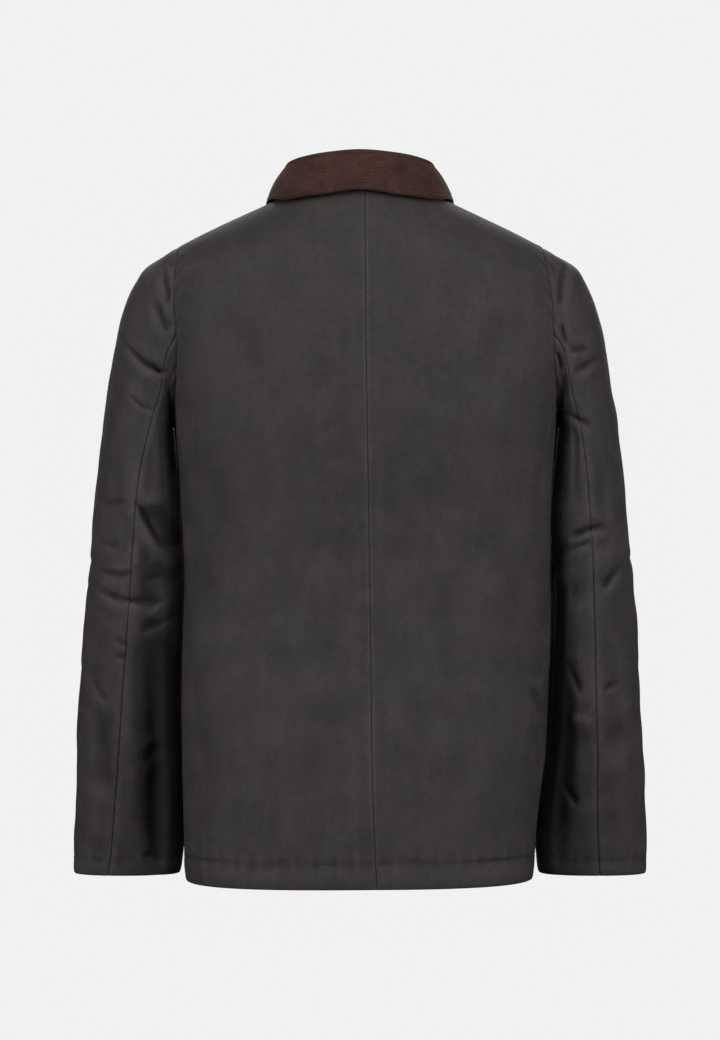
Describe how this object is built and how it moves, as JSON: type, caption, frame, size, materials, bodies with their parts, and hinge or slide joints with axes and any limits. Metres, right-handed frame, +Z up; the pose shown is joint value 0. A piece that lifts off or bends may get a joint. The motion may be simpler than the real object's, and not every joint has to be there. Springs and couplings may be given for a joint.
{
  "type": "waxed cotton jacket",
  "caption": "Hip-length waxed cotton jacket filled out as if worn, with a centre back seam, two-piece sleeves hanging at the sides and a folded corduroy collar.",
  "frame": {"origin": "middle of the neck opening, level with the neck points of the shoulders, where the wearer holds it up", "axes": "+Z up, front faces -Y, back faces +Y, wearer's left is +X"},
  "size_m": [0.6221, 0.2767, 0.7703],
  "materials": {
    "waxed_cotton": "very dark brown grey, dry wax with a soft lustre and cloudy mottling",
    "collar_corduroy": "brown corduroy, wales along the collar",
    "button_plastic": "dark brown, four holes"
  },
  "bodies": {
    "root": {"back_left": "waxed_cotton", "back_right": "waxed_cotton", "front_left": "waxed_cotton", "front_right": "waxed_cotton", "sleeve_left_top": "waxed_cotton", "sleeve_left_under": "waxed_cotton", "sleeve_right_top": "waxed_cotton", "sleeve_right_under": "waxed_cotton", "collar": "collar_corduroy", "button_1": "button_plastic", "button_2": "button_plastic", "button_3": "button_plastic", "button_4": "button_plastic", "button_5": "button_plastic"}
  },
  "joints": []
}
